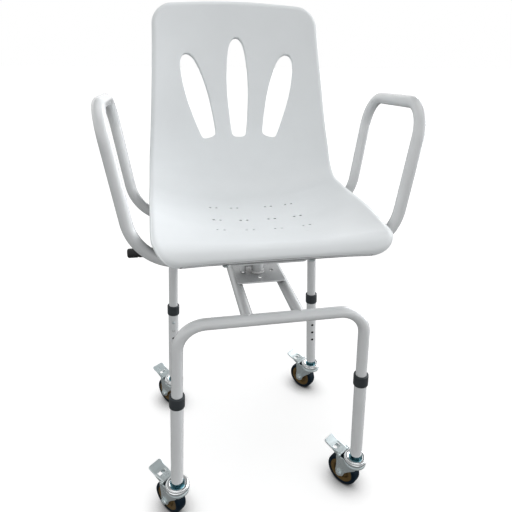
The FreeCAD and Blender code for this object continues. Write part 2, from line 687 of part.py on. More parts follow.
# ---------------------------------------------------------------- export
def build():
    nodes = {
        "front_arch": arch(-1), "rear_arch": arch(1),
        "left_rail": rail(-1), "right_rail": rail(1),
        "base_plate": base_plate(), "pivot_post": pivot_post(),
        "thrust_washer": ring(15.0, POST_R + 0.02, PLATE_TOP, WASHER_TOP),
        "pivot_bolt": pivot_bolt(),
        "swivel_hub": swivel_hub(), "swivel_plate": swivel_plate(),
        "lock_lever": lock_lever(), "lever_grip": lever_grip(), "lever_pin": lever_pin(),
        "lock_pin": lock_pin(),
        "front_cross_tube": cross_tube(ARM_FRONT_Y), "rear_cross_tube": cross_tube(ARM_REAR_Y),
        "left_arm": arm(-1), "right_arm": arm(1),
        "arm_bolts": arm_bolts(), "seat_screws": seat_screws(),
        "seat_shell": seat_shell(),
    }
    caster = {"caster_fork": caster_fork(), "axle": axle(), "wheel_core": wheel_core(),
              "tyre": tyre(), "brake_pedal": brake_pedal()}
    for key, side in LEGS.items():
        nodes[key + "_leg_tube"] = leg_tube(side)
        nodes[key + "_collar"] = collar(side)
        nodes[key + "_button"] = snap_button(side)
        nodes[key + "_caster_head"] = place_head(key)
        for name, shape in caster.items():
            nodes[key + "_" + name] = place_caster(shape, key)
    return nodes


os.makedirs("parts", exist_ok=True)
total = None
for name, shape in build().items():
    shape.translate(V(0, PIVOT_Y, -FLOOR_Z))
    if not shape.isValid():
        print("not valid:", name)
    total = shape.BoundBox if total is None else total.united(shape.BoundBox)
    shape.exportStep("parts/%s.step" % name)
print("size %.1f x %.1f x %.1f mm" % (total.XLength, total.YLength, total.ZLength))
print("centre %.2f %.2f, lowest %.2f" % (total.Center.x, total.Center.y, total.ZMin))
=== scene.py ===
"""Looks for the swivelling shower chair: a smooth moulded seat over its CAD shell, rounded
caster pressings, weld beads, procedural materials, soft studio light and the camera.

Metres in the scene.  Shapes that repeat a CAD formula are worked out in millimetres, with
X and Y from the swivel axis and the floor at FLOOR_Z, and placed with at().
"""
import math

import bmesh
import bpy
from mathutils import Matrix, Vector, geometry, kdtree


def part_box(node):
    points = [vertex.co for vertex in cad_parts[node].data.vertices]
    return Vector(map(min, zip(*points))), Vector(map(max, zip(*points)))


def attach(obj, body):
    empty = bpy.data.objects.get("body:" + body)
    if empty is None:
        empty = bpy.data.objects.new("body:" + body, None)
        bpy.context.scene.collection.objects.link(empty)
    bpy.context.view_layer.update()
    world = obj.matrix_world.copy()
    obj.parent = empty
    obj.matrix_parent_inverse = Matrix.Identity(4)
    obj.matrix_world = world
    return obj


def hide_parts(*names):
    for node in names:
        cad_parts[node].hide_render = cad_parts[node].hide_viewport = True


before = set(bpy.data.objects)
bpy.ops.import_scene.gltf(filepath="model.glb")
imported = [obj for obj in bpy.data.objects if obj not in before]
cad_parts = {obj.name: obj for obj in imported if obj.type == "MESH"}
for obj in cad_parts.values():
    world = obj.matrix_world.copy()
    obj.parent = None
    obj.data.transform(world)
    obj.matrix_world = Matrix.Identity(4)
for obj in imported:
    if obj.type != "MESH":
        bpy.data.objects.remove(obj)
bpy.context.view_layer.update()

MM = 0.001
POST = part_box("pivot_post")
PIVOT_Y = (POST[0].y + POST[1].y) / 2
FLOOR_Z = -5.0


def at(x, y, z):
    """Scene position of a point given in the millimetres of the CAD formulas."""
    return Vector((x * MM, y * MM + PIVOT_Y, (z - FLOOR_Z) * MM))


# ---------------------------------------------------------------- materials
def node(tree, kind, **inputs):
    made = tree.nodes.new(kind)
    for name, value in inputs.items():
        made.inputs[name.replace("_", " ")].default_value = value
    return made


def noise(tree, scale, detail=3.0, roughness=0.5, stretch=(1, 1, 1)):
    """Noise over the object's own coordinates; scale is in cells per metre."""
    place = tree.nodes.new("ShaderNodeTexCoord")
    sized = node(tree, "ShaderNodeMapping", Scale=stretch)
    made = node(tree, "ShaderNodeTexNoise", Scale=scale, Detail=detail, Roughness=roughness)
    tree.links.new(place.outputs["Object"], sized.inputs["Vector"])
    tree.links.new(sized.outputs["Vector"], made.inputs["Vector"])
    return made.outputs["Fac"]


def ramp(tree, source, stops):
    """Colours over a 0-1 source; stops are (position, colour)."""
    made = tree.nodes.new("ShaderNodeValToRGB")
    elements = made.color_ramp.elements
    while len(elements) < len(stops):
        elements.new(0.5)
    for element, (place, colour) in zip(elements, stops):
        element.position = place
        element.color = (*colour, 1.0)
    tree.links.new(source, made.inputs["Fac"])
    return made.outputs["Color"]


def spread(tree, source, low, high, middle=(0.35, 0.65)):
    """Maps the usual range of a noise to low..high."""
    made = tree.nodes.new("ShaderNodeMapRange")
    values = (*middle, low, high)
    for name, value in zip(("From Min", "From Max", "To Min", "To Max"), values):
        made.inputs[name].default_value = value
    tree.links.new(source, made.inputs["Value"])
    return made.outputs["Result"]


def bump(tree, shader, layers):
    """Chain of bumps; layers are (height source, distance in metres, strength)."""
    before = None
    for height, distance, strength in layers:
        made = node(tree, "ShaderNodeBump", Distance=distance, Strength=strength)
        tree.links.new(height, made.inputs["Height"])
        if before:
            tree.links.new(before, made.inputs["Normal"])
        before = made.outputs["Normal"]
    tree.links.new(before, shader.inputs["Normal"])


def new_material(name, **sockets):
    made = bpy.data.materials.new(name)
    made.use_nodes = True
    shader = made.node_tree.nodes["Principled BSDF"]
    for socket, value in sockets.items():
        shader.inputs[socket.replace("_", " ")].default_value = value
    return made, made.node_tree, shader


def painted_crevice_shade(tree, colour, reach, *opening):
    """Painted shade: the colour, turned dark where surfaces within the reach leave less than the
    opening.
    """
    closed = node(tree, "ShaderNodeAmbientOcclusion", Distance=reach)
    share = spread(tree, closed.outputs["AO"], 0.03, 1.0, opening)
    made = tree.nodes.new("ShaderNodeVectorMath")
    made.operation = "SCALE"
    tree.links.new(colour, made.inputs[0])
    tree.links.new(share, made.inputs["Scale"])
    return made.outputs["Vector"]


def mottled(name, stops, rough, cell=30.0, grain=(), fine=900.0, crevice_shade=(), **sockets):
    """Material whose colour and roughness wander, with a fine grain in its surface and, if asked,
    painted shade darkening its colour in crevices.
    """
    made, tree, shader = new_material(name, **sockets)
    colour = ramp(tree, noise(tree, cell, 5.0, 0.6), stops)
    # painted shade: the colour is darkened where nearby surfaces close round it
    if crevice_shade:
        colour = painted_crevice_shade(tree, colour, *crevice_shade)
    tree.links.new(colour, shader.inputs["Base Color"])
    detail = noise(tree, fine, 2.0)
    tree.links.new(spread(tree, detail, *rough), shader.inputs["Roughness"])
    layers = [(noise(tree, scale, 2.0), depth, strength) for scale, depth, strength in grain]
    bump(tree, shader, layers)
    return made


def grey(v, tint=(1.0, 1.0, 1.0)):
    return tuple(v * t for t in tint)


COOL, MINT = (0.975, 1.0, 1.01), (0.965, 1.0, 1.015)
# the seat's colour carries painted shade within 1 cm of other surfaces
SEAT = mottled("seat_plastic_look", [(0.3, grey(0.79, MINT)), (0.7, grey(0.82, MINT))],
               (0.36, 0.46), 9.0, [(1500.0, 0.00012, 0.35), (420.0, 0.0002, 0.12)],
               crevice_shade=(0.01, 0.35, 0.8), Specular_IOR_Level=0.5)
# the paint's colour carries painted shade where other surfaces come within 14 cm
PAINT = mottled("white_paint_look", [(0.3, grey(0.69, COOL)), (0.7, grey(0.73, COOL))],
                (0.16, 0.24), 14.0, [(260.0, 0.0003, 0.10), (900.0, 0.0001, 0.08)],
                crevice_shade=(0.14, 0.08, 0.6), Coat_Weight=0.35, Coat_Roughness=0.08)
CHARCOAL = mottled("collar_look", [(0.3, (0.020, 0.026, 0.030)), (0.7, (0.032, 0.039, 0.044))],
                   (0.42, 0.58), 60.0, [(1400.0, 0.0002, 0.4)])
GRIP = mottled("grip_look", [(0.3, (0.010, 0.010, 0.011)), (0.7, (0.018, 0.018, 0.019))],
               (0.48, 0.66), 60.0, [(1100.0, 0.0003, 0.5)])
TREAD = mottled("tread_look", [(0.3, (0.0005, 0.005, 0.011)), (0.7, (0.001, 0.010, 0.020))],
                (0.45, 0.6), 80.0, [(900.0, 0.0002, 0.3)], Specular_IOR_Level=0.12)
# the core's colour carries painted shade in its recesses, within 12 mm
CORE = mottled("core_look", [(0.3, (0.088, 0.050, 0.010)), (0.7, (0.125, 0.078, 0.020))],
               (0.4, 0.55), 90.0, [(1200.0, 0.0002, 0.3)], crevice_shade=(0.012, 0.1, 0.42),
               Specular_IOR_Level=0.3)
NYLON = mottled("nylon_look", [(0.3, grey(0.62)), (0.7, grey(0.70))],
                (0.35, 0.45), 60.0, [(800.0, 0.0001, 0.2)])
ZINC = mottled("zinc_look", [(0.30, (0.56, 0.64, 0.66)), (0.5, (0.61, 0.68, 0.69)),
                             (0.70, (0.65, 0.70, 0.70))],
               (0.27, 0.30), 15.0, [(300.0, 0.00001, 0.02)], fine=60.0, Metallic=0.75)
CHROME = mottled("chrome_look", [(0.3, grey(0.78, COOL)), (0.7, grey(0.86, COOL))],
                 (0.08, 0.16), 50.0, [(700.0, 0.0001, 0.06)], fine=320.0, Metallic=1.0)
BLUE_ZINC = mottled("blue_zinc_look", [(0.3, (0.10, 0.24, 0.29)), (0.7, (0.20, 0.36, 0.40))],
                    (0.20, 0.34), 140.0, [(600.0, 0.0002, 0.15)], fine=300.0, Metallic=1.0)

NODE_LOOKS = {"white_paint": PAINT, "seat_plastic": SEAT, "charcoal_plastic": CHARCOAL,
              "zinc": ZINC, "chrome": CHROME, "black_grip": GRIP, "tread": TREAD,
              "core_plastic": CORE, "nylon": NYLON}


def dress_frame():
    """Gives every CAD node the look that belongs to its material slot."""
    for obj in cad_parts.values():
        for holder in obj.material_slots:
            holder.material = NODE_LOOKS[holder.material.name.split(".")[0]]


# ---------------------------------------------------------------- mesh helpers
def mesh_object(name, verts, faces, look):
    mesh = bpy.data.meshes.new(name)
    mesh.from_pydata([tuple(v) for v in verts], [], faces)
    mesh.validate()
    mesh.polygons.foreach_set("use_smooth", [True] * len(mesh.polygons))
    obj = bpy.data.objects.new(name, mesh)
    bpy.context.scene.collection.objects.link(obj)
    obj.data.materials.append(look)
    return obj


# ---------------------------------------------------------------- seat surface
# the same surface as the CAD shell, in millimetres
SHELL_T = 4.0
PROFILE = [(-195.0, 600.5), (-212.5, 631.0), (-40.0, 604.0), (214.0, 607.0), (315.2, 1028.9)]
PROFILE_BENDS = [18.0, 300.0, 100.0]
HALF_WIDTH = [(0, 196), (30, 204), (60, 210), (169, 214), (282, 217.5), (380, 219), (480, 217),
              (563, 209), (656, 200.5), (746, 194), (846, 189)]
SIDE_LIFT = [(0, 4), (60, 15), (169, 42), (282, 43), (400, 46), (500, 40), (563, 34),
             (656, 31), (746, 26), (846, 20)]
ROLL_DEPTH = [(0, 3), (60, 8), (400, 12), (846, 12)]
ROLL_WIDTH = 12.0
FRONT_CORNER, TOP_CORNER = 40.0, 43.0
TOP_CROWN, CROWN_HALF, CROWN_REACH = 10.0, 150.0, 200.0
DISH_POWER = 2.6
SLOT_HALF = [(0, 0), (13, 2.5), (18, 13), (22.5, 55), (25.5, 110), (23.5, 160), (17.5, 198),
             (9, 214), (0, 218)]
SLOT_LENGTH = 218.0
SLOTS = [(0.0, 733.0, 218.0, 0.0), (72.0, 733.0, 189.0, 14.6), (-72.0, 733.0, 189.0, -14.6)]
DRAIN_ROWS = [(80.0, 38.0, 84.0), (1.0, 29.0, 84.0), (-65.0, 28.0, 84.0)]
DRAIN_R, DRAIN_GAP = 3.0, 6.8
BEAD_HEIGHT, BEAD_INSET, BEAD_HALF = 1.1, 1.9, 1.3
RIM_INSETS = [14.0, 12.0, 10.0, 8.2, 6.6, 5.4, 4.5, 3.8, 3.2, 2.6, 1.9, 1.2, 0.5]
GRID, GRID_HALF = 8.0, 27
RIM_GAP, HOLE_GAP = 3.0, 3.2
FRONT_STEPS, FRONT_TURN, SIDE_STEPS, TOP_TURN, TOP_STEPS = 20, 12, 90, 14, 15


def along(table, t):
    """Smooth curve through (t, value) pairs."""
    k = 0
    while k < len(table) - 2 and t > table[k + 1][0]:
        k += 1
    (t0, a), (t1, b) = table[k], table[k + 1]
    before = table[max(k - 1, 0)]
    after = table[min(k + 2, len(table) - 1)]
    h = t1 - t0
    ma = (b - before[1]) / (t1 - before[0]) * h
    mb = (after[1] - a) / (after[0] - t0) * h
    s = (t - t0) / h
    return (a * (1 + 2 * s) * (1 - s) ** 2 + ma * s * (1 - s) ** 2
            + b * s * s * (3 - 2 * s) + mb * s * s * (s - 1))


def profile_pieces():
    """Straight and curved pieces of the seat's centre line: start, heading, length, curvature."""
    pieces = []
    start = PROFILE[0]
    for k, radius in enumerate(PROFILE_BENDS, 1):
        c, p, n = PROFILE[k], PROFILE[k - 1], PROFILE[k + 1]
        a0 = math.atan2(c[1] - p[1], c[0] - p[0])
        a1 = math.atan2(n[1] - c[1], n[0] - c[0])
        turn = a1 - a0
        run = radius * abs(math.tan(turn / 2))
        p_in = (c[0] - run * math.cos(a0), c[1] - run * math.sin(a0))
        pieces.append((start, a0, math.dist(start, p_in), 0.0))
        pieces.append((p_in, a0, radius * abs(turn), math.copysign(1 / radius, turn)))
        start = (c[0] + run * math.cos(a1), c[1] + run * math.sin(a1))
    pieces.append((start, a1, math.dist(start, PROFILE[-1]), 0.0))
    return pieces


PIECES = profile_pieces()
SHELL_LENGTH = sum(p[2] for p in PIECES)


def profile_at(t):
    """Point (y, z) and heading of the centre line at length t."""
    for piece in PIECES:
        start, heading, length, curvature = piece
        if t <= length or piece is PIECES[-1]:
            break
        t -= length
    if curvature == 0:
        return start[0] + t * math.cos(heading), start[1] + t * math.sin(heading), heading
    turned = heading + t * curvature
    y = start[0] + (math.sin(turned) - math.sin(heading)) / curvature
    z = start[1] - (math.cos(turned) - math.cos(heading)) / curvature
    return y, z, turned


def edge_distance(x, t):
    """Distance from the rounded outline of the flattened shell."""
    side = along(HALF_WIDTH, t) - abs(x)
    for end, corner in ((t, FRONT_CORNER), (SHELL_LENGTH - t, TOP_CORNER)):
        if end < corner and side < corner:
            return corner - math.hypot(corner - side, corner - end)
    return min(side, t, SHELL_LENGTH - t)


def top_drop(x, t):
    """How far the crowned top edge has dropped at x, fading out down the back."""
    s = max(0.0, 1 - (SHELL_LENGTH - t) / CROWN_REACH)
    return TOP_CROWN * (x / CROWN_HALF) ** 2 * s * s * (3 - 2 * s)


def shell_point(x, t):
    """Point of the sitting surface: dished across, with its rim rolled back."""
    y, z, heading = profile_at(t - top_drop(x, t))
    lift = along(SIDE_LIFT, t) * (abs(x) / along(HALF_WIDTH, t)) ** DISH_POWER
    inside = min(max(edge_distance(x, t) / ROLL_WIDTH, 0.0), 1.0)
    lift -= along(ROLL_DEPTH, t) * (1 - math.sqrt(max(0.0, 1 - (1 - inside) ** 2)))
    lift += BEAD_HEIGHT * math.exp(-((edge_distance(x, t) - BEAD_INSET) / BEAD_HALF) ** 2)
    return Vector((x, y - lift * math.sin(heading), z + lift * math.cos(heading)))


def shell_normal(x, t):
    step = 0.05
    across = shell_point(x + step, t) - shell_point(x - step, t)
    forward = shell_point(x, t + step) - shell_point(x, t - step)
    return across.cross(forward).normalized()


def shell_at(x, t, depth):
    p = shell_point(x, t)
    if depth:
        p = p - shell_normal(x, t) * depth
    return at(*p)


def length_where(test):
    """Length t at which test(t) turns from true to false, by halving."""
    low, high = 60.0, SHELL_LENGTH - 1.0
    for _ in range(30):
        middle = (low + high) / 2
        low, high = (middle, high) if test(middle) else (low, middle)
    return low


def outline(inset):
    """Closed outline of the flattened shell at a distance inside its edge, as (x, t)."""
    front_half = along(HALF_WIDTH, inset) - FRONT_CORNER
    right = [(front_half * k / FRONT_STEPS, inset) for k in range(FRONT_STEPS)]
    for k in range(FRONT_TURN + 1):
        a = math.radians(90 * k / FRONT_TURN)
        t = FRONT_CORNER - (FRONT_CORNER - inset) * math.cos(a)
        x = along(HALF_WIDTH, t) - FRONT_CORNER + (FRONT_CORNER - inset) * math.sin(a)
        right.append((x, t))
    side = SHELL_LENGTH - FRONT_CORNER - TOP_CORNER
    for k in range(1, SIDE_STEPS):
        t = FRONT_CORNER + side * k / SIDE_STEPS
        right.append((along(HALF_WIDTH, t) - inset, t))
    for k in range(TOP_TURN + 1):
        a = math.radians(90 * k / TOP_TURN)
        t = SHELL_LENGTH - TOP_CORNER + (TOP_CORNER - inset) * math.sin(a)
        x = along(HALF_WIDTH, t) - TOP_CORNER + (TOP_CORNER - inset) * math.cos(a)
        right.append((x, t))
    top_half = along(HALF_WIDTH, SHELL_LENGTH - inset) - TOP_CORNER
    right += [(top_half * (1 - k / TOP_STEPS), SHELL_LENGTH - inset)
              for k in range(1, TOP_STEPS + 1)]
    return right + [(-x, t) for x, t in reversed(right[1:-1])]


def closed_curve(points, per_span):
    """Catmull-Rom curve through a closed row of 2-D points."""
    out = []
    count = len(points)
    for k in range(count):
        p0, p1, p2, p3 = (Vector(points[(k + j) % count]) for j in (-1, 0, 1, 2))
        for j in range(per_span):
            s = j / per_span
            out.append(0.5 * (2 * p1 + (p2 - p0) * s + (2 * p0 - 5 * p1 + 4 * p2 - p3) * s * s
                              + (3 * p1 - p0 - 3 * p2 + p3) * s ** 3))
    return out


def slot_loop(x, z, length, lean):
    """Outline of a back slot as (x, t) on the flattened shell."""
    scale = length / SLOT_LENGTH
    right = [(h, s * scale) for h, s in SLOT_HALF]
    left = [(-h, s * scale) for h, s in reversed(SLOT_HALF[1:-1])]
    turn = Matrix.Rotation(math.radians(-lean), 2)
    loop = []
    for p in closed_curve(right + left, 6):
        q = turn @ p
        px, pz = x + q.x, z + q.y
        loop.append((px, length_where(lambda t: shell_point(px, t).z < pz)))
    return loop


def drain_loops():
    loops = []
    for y, inner, outer in DRAIN_ROWS:
        for x in (-outer, -inner, inner, outer):
            t = length_where(lambda s: shell_point(x, s).y < y)
            for dx in (-DRAIN_GAP, DRAIN_GAP):
                angles = [math.radians(30 * k) for k in range(12)]
                loops.append([(x + dx + DRAIN_R * math.cos(a), t + DRAIN_R * math.sin(a))
                              for a in angles])
    return loops


def grown(loop, distance):
    """The loop moved outwards by a distance, into the material round the hole."""
    out = []
    count = len(loop)
    for k, p in enumerate(loop):
        before, after = Vector(loop[k - 1]), Vector(loop[(k + 1) % count])
        along_loop = (after - before).normalized()
        out.append((p[0] + along_loop.y * distance, p[1] - along_loop.x * distance))
    return out


def inside_loop(p, loop):
    """Even-odd test of a point against a closed loop."""
    hit = False
    for a, b in zip(loop, loop[1:] + loop[:1]):
        if (a[1] > p[1]) != (b[1] > p[1]):
            if p[0] < a[0] + (p[1] - a[1]) * (b[0] - a[0]) / (b[1] - a[1]):
                hit = not hit
    return hit


class Skin:
    """Vertices and faces of the seat, gathered ring by ring."""

    def __init__(self):
        self.verts = []
        self.faces = []

    def ring(self, points):
        first = len(self.verts)
        self.verts += points
        return list(range(first, first + len(points)))

    def join(self, a, b):
        count = len(a)
        self.faces += [(a[k], a[(k + 1) % count], b[(k + 1) % count], b[k])
                       for k in range(count)]

    def sheet(self, flat, triangles, depth):
        base = len(self.verts)
        self.verts += [shell_at(x, t, depth) for x, t in flat]
        order = (0, 1, 2) if depth == 0 else (2, 1, 0)
        self.faces += [tuple(base + tri[k] for k in order) for tri in triangles]
        return base


def grid_points(loops, holes):
    """Regular points of the flattened shell that keep clear of every edge."""
    tree = kdtree.KDTree(sum(len(loop) for loop in loops))
    for k, p in enumerate(p for loop in loops for p in loop):
        tree.insert((*p, 0.0), k)
    tree.balance()
    points = []
    rows = int(SHELL_LENGTH / GRID)
    for i in range(1, rows):
        t = SHELL_LENGTH * i / rows
        half = along(HALF_WIDTH, t)
        for j in range(-GRID_HALF, GRID_HALF + 1):
            p = (half * j / (GRID_HALF + 0.5), t)
            if edge_distance(*p) < RIM_INSETS[0] + RIM_GAP:
                continue
            if tree.find((*p, 0.0))[2] < HOLE_GAP:
                continue
            if not any(inside_loop(p, hole) for hole in holes):
                points.append(p)
    return points


def flat_triangles(loops, free):
    """Triangles of the flattened shell between its outline and its holes."""
    flat, edges, owner = [], [], []
    for number, loop in enumerate(loops):
        base = len(flat)
        flat += loop
        owner += [number] * len(loop)
        edges += [(base + k, base + (k + 1) % len(loop)) for k in range(len(loop))]
    flat += free
    owner += [-1] * len(free)
    result = geometry.delaunay_2d_cdt([Vector(p) for p in flat], edges, [], 1, 1e-6)
    points, _, triangles, sources = result[0], result[1], result[2], result[3]
    owners = [owner[s[0]] if s else -1 for s in sources]
    kept = []
    for tri in triangles:
        kinds = {owners[k] for k in tri}
        if len(kinds) > 1 or kinds in ({-1}, {0}):
            kept.append(tuple(tri))
    first = {s[0]: k for k, s in enumerate(sources) if s}
    return [tuple(p) for p in points], kept, first


# distance into the material and depth of each ring round a hole, front face to back face
HOLE_EDGE = [(3.2, 0.0), (2.1, 0.15), (1.1, 0.55), (0.35, 1.3), (0.0, 2.4), (0.0, 11.0),
             (0.35, 11.7), (1.2, 12.0), (2.05, 11.7), (2.4, 11.0), (2.4, 5.2), (2.65, 4.3),
             (3.2, 4.0)]
DRAIN_EDGE = [(0.7, 0.0), (0.25, 0.2), (0.0, 0.7), (0.0, 3.3), (0.25, 3.8), (0.7, 4.0)]


def rim_cap(skin, outer, before, under):
    """Small bead that closes the rolled rim; before is the ring inside the outer one."""
    count = len(outer)
    rings = []
    for k in range(1, 6):
        a = math.pi * k / 6
        rings.append((0.5 - 0.5 * math.cos(a), 1.5 * math.sin(a)))
    previous = outer
    down = [(skin.verts[a] - skin.verts[b]).normalized() for a, b in zip(outer, before)]
    for share, bulge in rings:
        points = [skin.verts[outer[k]].lerp(skin.verts[under[k]], share)
                  + down[k] * bulge * MM for k in range(count)]
        ring = skin.ring(points)
        skin.join(previous, ring)
        previous = ring
    skin.join(previous, under)


def hole_wall(skin, start, loop, edge, end):
    """Rounded wall of a hole, from a ring in the front sheet to one in the back sheet."""
    previous = start
    for distance, depth in edge[1:-1]:
        ring = skin.ring([shell_at(x, t, depth) for x, t in grown(loop, distance)])
        skin.join(previous, ring)
        previous = ring
    skin.join(previous, end)


def rolled_edge(skin, start, depth):
    """Rings from the sheet's edge out to the rim; returns the last two."""
    before, previous = start, start
    for inset in RIM_INSETS[1:]:
        ring = skin.ring([shell_at(x, t, depth) for x, t in outline(inset)])
        skin.join(previous, ring)
        before, previous = previous, ring
    return before, previous


def cleaned(mesh):
    """Joins doubled points and pairs of triangles, and turns the faces outwards."""
    work = bmesh.new()
    work.from_mesh(mesh)
    bmesh.ops.remove_doubles(work, verts=work.verts, dist=1e-6)
    bmesh.ops.recalc_face_normals(work, faces=work.faces)
    bmesh.ops.join_triangles(work, faces=work.faces, angle_face_threshold=0.3,
                             angle_shape_threshold=0.7)
    work.to_mesh(mesh)
    work.free()


def make_seat():
    """Closed seat shell with rolled rim, three back slots and paired drain holes."""
    slots = [slot_loop(*s) for s in SLOTS]
    drains = drain_loops()
    holes = [(loop, HOLE_EDGE) for loop in slots] + [(loop, DRAIN_EDGE) for loop in drains]
    loops = [outline(RIM_INSETS[0])] + [grown(loop, edge[0][0]) for loop, edge in holes]
    grown_slots = loops[1:1 + len(slots)]
    flat, triangles, first = flat_triangles(loops, grid_points(loops, grown_slots))
    skin = Skin()
    front = skin.sheet(flat, triangles, 0.0)
    back = skin.sheet(flat, triangles, SHELL_T)
    starts = [sum(len(loop) for loop in loops[:k]) for k in range(len(loops))]

    def placed(number, base):
        return [base + first[starts[number] + k] for k in range(len(loops[number]))]

    for number, (loop, edge) in enumerate(holes, 1):
        hole_wall(skin, placed(number, front), loop, edge, placed(number, back))
    before, outer = rolled_edge(skin, placed(0, front), 0.0)
    _, under = rolled_edge(skin, placed(0, back), SHELL_T)
    rim_cap(skin, outer, before, under)
    obj = mesh_object("seat_skin", skin.verts, skin.faces, SEAT)
    cleaned(obj.data)
    return obj


SCREW_X, CROSS_Z, CROSS_R, BOSS_R = 82.0, 576.0, 12.7, 11.0
ARM_FRONT_Y, ARM_REAR_Y = -118.0, 130.0
BOSS_SINK, BOSS_STEPS = 2.0, 32
# share of the foot's height and how much wider it is there
BOSS_FLARE = [(0.0, 0.0), (0.35, 0.0), (0.7, 0.6), (0.88, 1.8), (1.0, 3.6)]


def make_boss(x, y):
    """Moulded foot between a cross tube and the underside of the shell, flared at its top."""
    t = length_where(lambda s: shell_point(x, s).y < y)
    top = shell_point(x, t).z - BOSS_SINK
    rings = []
    for share, swell in BOSS_FLARE:
        ring = []
        for k in range(BOSS_STEPS):
            a = math.tau * k / BOSS_STEPS
            foot = CROSS_Z + math.sqrt((CROSS_R + 0.1) ** 2 - (BOSS_R * math.sin(a)) ** 2)
            r = BOSS_R + swell
            ring.append(at(x + r * math.cos(a), y + r * math.sin(a), foot + (top - foot) * share))
        rings.append(ring)
    return lofted("seat_boss_%d_%d" % (x, y), rings, SEAT)


# ---------------------------------------------------------------- casters
# millimetres with the stem on the Z axis and the wheel trailing towards +X
LEG_X, BAR_Z, SPLAY, LEG_Y, LEG_FOOT = 176.7, 474.0, 0.058, 172.0, 99.0
TRAIL, AXLE_Z, AXLE_R = 26.0, 32.5, 4.0
CHEEK_Y, CHEEK_T, CHEEK_SPREAD_R = 16.5, 2.8, 24.2
PEDAL_PIVOT = (33.0, 77.4)
LEGS = {"fl": (-1, -1, 40.0), "fr": (1, -1, 34.0), "rl": (-1, 1, 37.0), "rr": (1, 1, 37.0)}


def lofted(name, rings, look):
    """Skin over closed rings of equal length, with both ends filled."""
    count = len(rings[0])
    verts = [p for ring in rings for p in ring]
    faces = []
    for i in range(len(rings) - 1):
        for k in range(count):
            j = (k + 1) % count
            faces.append((i * count + k, i * count + j, (i + 1) * count + j, (i + 1) * count + k))
    faces.append(tuple(reversed(range(count))))
    faces.append(tuple((len(rings) - 1) * count + k for k in range(count)))
    return mesh_object(name, verts, faces, look)


def revolved(points, steps=64):
    """Vertices and faces of a closed (radius, height) outline turned about Z."""
    count = len(points)
    verts, faces = [], []
    for k in range(steps):
        a = math.tau * k / steps
        verts += [Vector((r * math.cos(a), r * math.sin(a), z)) for r, z in points]
    for k in range(steps):
        for i in range(count):
            a, b = k * count, ((k + 1) % steps) * count
            j = (i + 1) % count
            faces.append((a + i, b + i, b + j, a + j))
    return verts, faces


def turned_to_axle(verts):
    """Turns a shape made about Z so that it lies about the wheel's axle."""
    return [Vector((v.x + TRAIL, v.z, AXLE_Z - v.y)) for v in verts]


def joined(shapes):
    verts, faces = [], []
    for v, f in shapes:
        base = len(verts)
        verts += v
        faces += [tuple(base + k for k in face) for face in f]
    return verts, faces


def prism(outline_points, y0, y1):
    """Plate of an (x, z) outline between two y values."""
    count = len(outline_points)
    verts = [Vector((x, y, z)) for y in (y0, y1) for x, z in outline_points]
    faces = [tuple(range(count)), tuple(reversed(range(count, 2 * count)))]
    faces += [(k, count + k, count + (k + 1) % count, (k + 1) % count) for k in range(count)]
    return verts, faces


def rod(r, z0, z1, steps=32):
    verts = [Vector((r * math.cos(math.tau * k / steps), r * math.sin(math.tau * k / steps), z))
             for z in (z0, z1) for k in range(steps)]
    faces = [tuple(reversed(range(steps))), tuple(range(steps, 2 * steps))]
    faces += [(k, (k + 1) % steps, steps + (k + 1) % steps, steps + k) for k in range(steps)]
    return verts, faces


def hex_prism(across, z0, z1):
    """Six-sided rod with a given width across its flats."""
    return rod(across / math.sqrt(3.0), z0, z1, 6)


def moved(shape, matrix):
    return [matrix @ v for v in shape[0]], shape[1]


def smooth_step(low, high, value):
    s = min(max((value - low) / (high - low), 0.0), 1.0)
    return s * s * (3 - 2 * s)


def sheet_grid(point, us, vs, skip=()):
    """Open sheet point(u, v) over two rows of values; skip names cells left out."""
    verts = [Vector(point(u, v)) for u in us for v in vs]
    wide = len(vs)
    faces = [(i * wide + j, i * wide + j + 1, (i + 1) * wide + j + 1, (i + 1) * wide + j)
             for i in range(len(us) - 1) for j in range(wide - 1) if (i, j) not in skip]
    return verts, faces


# height, front edge and rear edge of a fork cheek
CHEEK_ROWS = [(76.5, -15.5, 38.4), (73, -14.8, 38.4), (69, -13.6, 38.0), (65, -11.4, 37.5),
              (61, -8.0, 36.9), (57, -3.8, 36.5), (53, 0.4, 36.3), (49, 4.2, 36.2),
              (45, 7.8, 36.3), (41, 11.0, 36.5), (37, 13.4, 36.8), (32, 15.2, 36.8),
              (28, 16.4, 35.8), (25.2, 18.6, 33.6), (22.9, 21.6, 30.6), (21.8, 24.2, 27.8)]


def cheek(side):
    """One side of the fork: flared out to the crown at its top, with a pressed rib."""
    def place(row, share):
        z, front, rear = CHEEK_ROWS[row]
        x = front + (rear - front) * share
        flare = math.sqrt(max(CHEEK_SPREAD_R ** 2 - x * x, 0.0)) - CHEEK_Y - CHEEK_T / 2
        out = max(flare, 0.0) * smooth_step(60.0, 77.0, z) ** 2
        middle = front + (rear - front) * 0.42
        out += 0.9 * math.exp(-((x - middle) / 4.0) ** 2) * smooth_step(28.0, 40.0, z)
        return x, side * (CHEEK_Y + out), z
    return sheet_grid(place, range(len(CHEEK_ROWS)), [k / 18 for k in range(19)])


